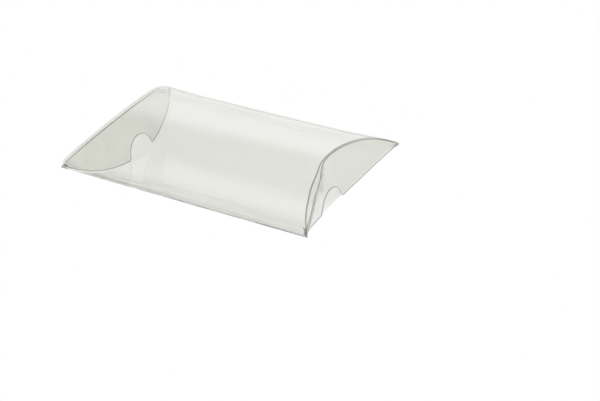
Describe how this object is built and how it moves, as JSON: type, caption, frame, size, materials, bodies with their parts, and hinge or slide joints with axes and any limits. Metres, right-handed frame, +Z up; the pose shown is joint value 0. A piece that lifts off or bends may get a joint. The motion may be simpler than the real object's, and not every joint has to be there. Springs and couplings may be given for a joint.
{
  "type": "clear pillow box",
  "caption": "Clear film pillow box: a creased sheet with a pointed-oval section, closed at both ends by curved flaps with thumb notches.",
  "frame": {"origin": "on the surface that the box rests on, under its middle", "axes": "+X along the side folds, +Y across them, towards the side with the glue tab, +Z up"},
  "size_m": [0.127, 0.0772, 0.026],
  "materials": {
    "clear_film": "clear, smooth, faintly grey-green"
  },
  "bodies": {
    "box": {"folded_sheet": "clear_film"},
    "left_flap": {"left_end_flap": "clear_film"},
    "right_flap": {"right_end_flap": "clear_film"}
  },
  "joints": [
    {"name": "left_flap_fold", "type": "hinge", "parent": "box", "child": "left_flap", "pos_m": [-0.05075, 0, 0.026], "axis": [0, 1, 0], "range_deg": [0, 90]},
    {"name": "right_flap_fold", "type": "hinge", "parent": "box", "child": "right_flap", "pos_m": [0.05075, 0, 0.026], "axis": [0, -1, 0], "range_deg": [0, 90]}
  ]
}
